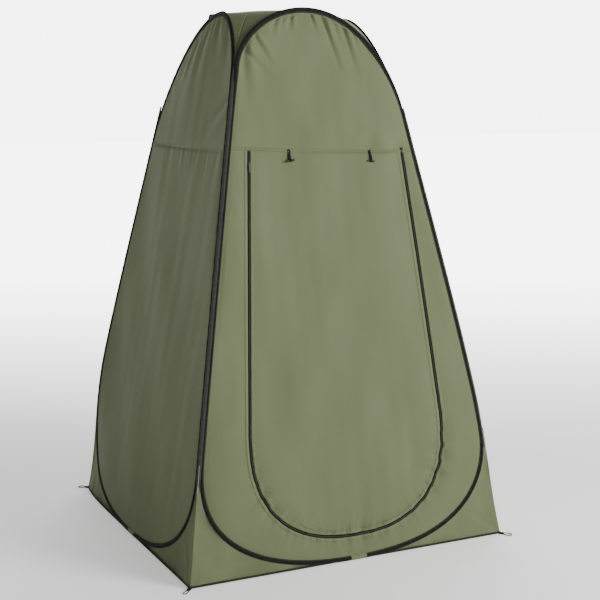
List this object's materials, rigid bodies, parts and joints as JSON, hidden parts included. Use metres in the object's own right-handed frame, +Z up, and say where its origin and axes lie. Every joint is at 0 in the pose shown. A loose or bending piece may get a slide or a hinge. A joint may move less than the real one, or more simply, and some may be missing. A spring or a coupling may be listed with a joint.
{
  "type": "privacy shower tent",
  "caption": "Pop-up privacy shower tent in olive green polyester, with sprung wire loops in black sleeves, a zipped roll-up door and peg loops.",
  "frame": {"origin": "centre of the ground square, on the ground", "axes": "+Z up, -Y out of the door side, +X to the right of someone facing the door"},
  "size_m": [1.2762, 1.2762, 1.8669],
  "materials": {
    "tent_fabric": "olive green plain-weave polyester, coated inside, soft sheen",
    "roof_fabric": "olive green plain-weave polyester, coated inside, soft sheen",
    "binding_tape": "black-grey woven binding tape, matt",
    "zip_tape": "black nylon coil zip on woven tape",
    "zip_metal": "black painted zip slider",
    "toggle_plastic": "black moulded plastic",
    "spring_steel": "bare spring steel wire",
    "elastic_cord": "black elastic cord, woven cover"
  },
  "bodies": {
    "back": {"wire_back": "spring_steel", "ferrule_back": "spring_steel", "sleeve_back": "binding_tape", "sleeve_patch_back": "tent_fabric", "upper_panel_back": "tent_fabric", "lower_panel_back": "tent_fabric", "gusset_back_left": "tent_fabric", "gusset_back_right": "tent_fabric", "roof_back_left": "roof_fabric", "peg_loop_back_left": "elastic_cord", "peg_loop_back_right": "elastic_cord"},
    "left": {"wire_left": "spring_steel", "ferrule_left": "spring_steel", "sleeve_left": "binding_tape", "sleeve_patch_left": "tent_fabric", "upper_panel_left": "tent_fabric", "lower_panel_left": "tent_fabric", "gusset_left_front": "tent_fabric", "gusset_left_back": "tent_fabric", "peg_loop_front_left": "elastic_cord"},
    "right": {"wire_right": "spring_steel", "ferrule_right": "spring_steel", "sleeve_right": "binding_tape", "sleeve_patch_right": "tent_fabric", "upper_panel_right": "tent_fabric", "lower_panel_right": "tent_fabric", "gusset_right_back": "tent_fabric", "gusset_right_front": "tent_fabric", "roof_front_right": "roof_fabric", "peg_loop_front_right": "elastic_cord"},
    "front": {"wire_front": "spring_steel", "ferrule_front": "spring_steel", "sleeve_front": "binding_tape", "sleeve_patch_front": "tent_fabric", "upper_panel_front": "tent_fabric", "door_surround": "tent_fabric", "gusset_front_right": "tent_fabric", "gusset_front_left": "tent_fabric", "zip_track": "zip_tape", "door_strip_1": "tent_fabric"},
    "door_fold_2": {"door_strip_2": "tent_fabric"},
    "door_fold_3": {"door_strip_3": "tent_fabric"},
    "door_fold_4": {"door_strip_4": "tent_fabric"},
    "door_fold_5": {"door_strip_5": "tent_fabric"},
    "door_fold_6": {"door_strip_6": "tent_fabric"},
    "door_fold_7": {"door_strip_7": "tent_fabric"},
    "door_fold_8": {"door_strip_8": "tent_fabric"},
    "door_fold_9": {"door_strip_9": "tent_fabric"},
    "door_fold_10": {"door_strip_10": "tent_fabric"},
    "door_fold_11": {"door_strip_11": "tent_fabric"},
    "door_fold_12": {"door_strip_12": "tent_fabric"},
    "door_fold_13": {"door_strip_13": "tent_fabric"},
    "zip_slider": {"zip_slider": "zip_metal"},
    "zip_pull": {"zip_pull": "zip_metal"},
    "toggle_left": {"toggle_strap_left": "binding_tape", "toggle_bar_left": "toggle_plastic"},
    "toggle_right": {"toggle_strap_right": "binding_tape", "toggle_bar_right": "toggle_plastic"}
  },
  "joints": [
    {"name": "frame_fold", "type": "hinge", "parent": "back", "child": "right", "pos_m": [0.6, 0.6, 0], "axis": [-0.1731, -0.1731, 0.9696], "range_deg": [0, 77], "stiffness_Nm_per_rad": 1.5},
    {"name": "left_fold", "type": "hinge", "parent": "back", "child": "left", "pos_m": [-0.6, 0.6, 0], "axis": [0.1731, -0.1731, 0.9696], "range_deg": [0, 79.7], "deforming": ["roof_back_left"]},
    {"name": "front_fold", "type": "hinge", "parent": "right", "child": "front", "pos_m": [0.6, -0.6, 0], "axis": [-0.1731, 0.1731, 0.9696], "range_deg": [-79.7, 0], "deforming": ["roof_front_right"]},
    {"name": "door_roll", "type": "hinge", "parent": "front", "child": "door_fold_2", "pos_m": [0.015, -0.38001, 1.2569], "axis": [-1, 0, 0], "range_deg": [0, 45]},
    {"name": "door_roll_3", "type": "hinge", "parent": "door_fold_2", "child": "door_fold_3", "pos_m": [0.015, -0.40267, 1.12995], "axis": [-1, 0, 0], "range_deg": [0, 73]},
    {"name": "door_roll_4", "type": "hinge", "parent": "door_fold_3", "child": "door_fold_4", "pos_m": [0.015, -0.42437, 1.00841], "axis": [-1, 0, 0], "range_deg": [0, 73]},
    {"name": "door_roll_5", "type": "hinge", "parent": "door_fold_4", "child": "door_fold_5", "pos_m": [0.015, -0.44509, 0.89229], "axis": [-1, 0, 0], "range_deg": [0, 73]},
    {"name": "door_roll_6", "type": "hinge", "parent": "door_fold_5", "child": "door_fold_6", "pos_m": [0.015, -0.46486, 0.78158], "axis": [-1, 0, 0], "range_deg": [0, 73]},
    {"name": "door_roll_7", "type": "hinge", "parent": "door_fold_6", "child": "door_fold_7", "pos_m": [0.015, -0.48365, 0.67629], "axis": [-1, 0, 0], "range_deg": [0, 73]},
    {"name": "door_roll_8", "type": "hinge", "parent": "door_fold_7", "child": "door_fold_8", "pos_m": [0.015, -0.50148, 0.57641], "axis": [-1, 0, 0], "range_deg": [0, 73]},
    {"name": "door_roll_9", "type": "hinge", "parent": "door_fold_8", "child": "door_fold_9", "pos_m": [0.015, -0.51834, 0.48194], "axis": [-1, 0, 0], "range_deg": [0, 73]},
    {"name": "door_roll_10", "type": "hinge", "parent": "door_fold_9", "child": "door_fold_10", "pos_m": [0.015, -0.53424, 0.39289], "axis": [-1, 0, 0], "range_deg": [0, 73]},
    {"name": "door_roll_11", "type": "hinge", "parent": "door_fold_10", "child": "door_fold_11", "pos_m": [0.015, -0.54917, 0.30925], "axis": [-1, 0, 0], "range_deg": [0, 73]},
    {"name": "door_roll_12", "type": "hinge", "parent": "door_fold_11", "child": "door_fold_12", "pos_m": [0.015, -0.56313, 0.23103], "axis": [-1, 0, 0], "range_deg": [0, 73]},
    {"name": "door_roll_13", "type": "hinge", "parent": "door_fold_12", "child": "door_fold_13", "pos_m": [0.015, -0.57612, 0.15823], "axis": [-1, 0, 0], "range_deg": [0, 73]},
    {"name": "zip_slide", "type": "slide", "parent": "front", "child": "zip_slider", "axis": [-0.0797, -0.1752, -0.9813], "range_m": [0, 0.82]},
    {"name": "zip_pull_swing", "type": "hinge", "parent": "zip_slider", "child": "zip_pull", "pos_m": [-0.27852, -0.36998, 1.34836], "axis": [-1, 0, 0], "range_deg": [0, 150]},
    {"name": "toggle_left_swing", "type": "hinge", "parent": "front", "child": "toggle_left", "pos_m": [-0.128, -0.35761, 1.39207], "axis": [-1, 0, 0], "range_deg": [0, 150]},
    {"name": "toggle_right_swing", "type": "hinge", "parent": "front", "child": "toggle_right", "pos_m": [0.18, -0.35761, 1.39207], "axis": [-1, 0, 0], "range_deg": [0, 150]}
  ],
  "couplings": [
    {"joint": "left_fold", "follows": "frame_fold", "ratio": 1.015},
    {"joint": "front_fold", "follows": "frame_fold", "ratio": -1.015},
    {"joint": "door_roll_3", "follows": "door_roll", "ratio": 1.6},
    {"joint": "door_roll_4", "follows": "door_roll", "ratio": 1.6},
    {"joint": "door_roll_5", "follows": "door_roll", "ratio": 1.6},
    {"joint": "door_roll_6", "follows": "door_roll", "ratio": 1.6},
    {"joint": "door_roll_7", "follows": "door_roll", "ratio": 1.6},
    {"joint": "door_roll_8", "follows": "door_roll", "ratio": 1.6},
    {"joint": "door_roll_9", "follows": "door_roll", "ratio": 1.6},
    {"joint": "door_roll_10", "follows": "door_roll", "ratio": 1.6},
    {"joint": "door_roll_11", "follows": "door_roll", "ratio": 1.6},
    {"joint": "door_roll_12", "follows": "door_roll", "ratio": 1.6},
    {"joint": "door_roll_13", "follows": "door_roll", "ratio": 1.6}
  ]
}
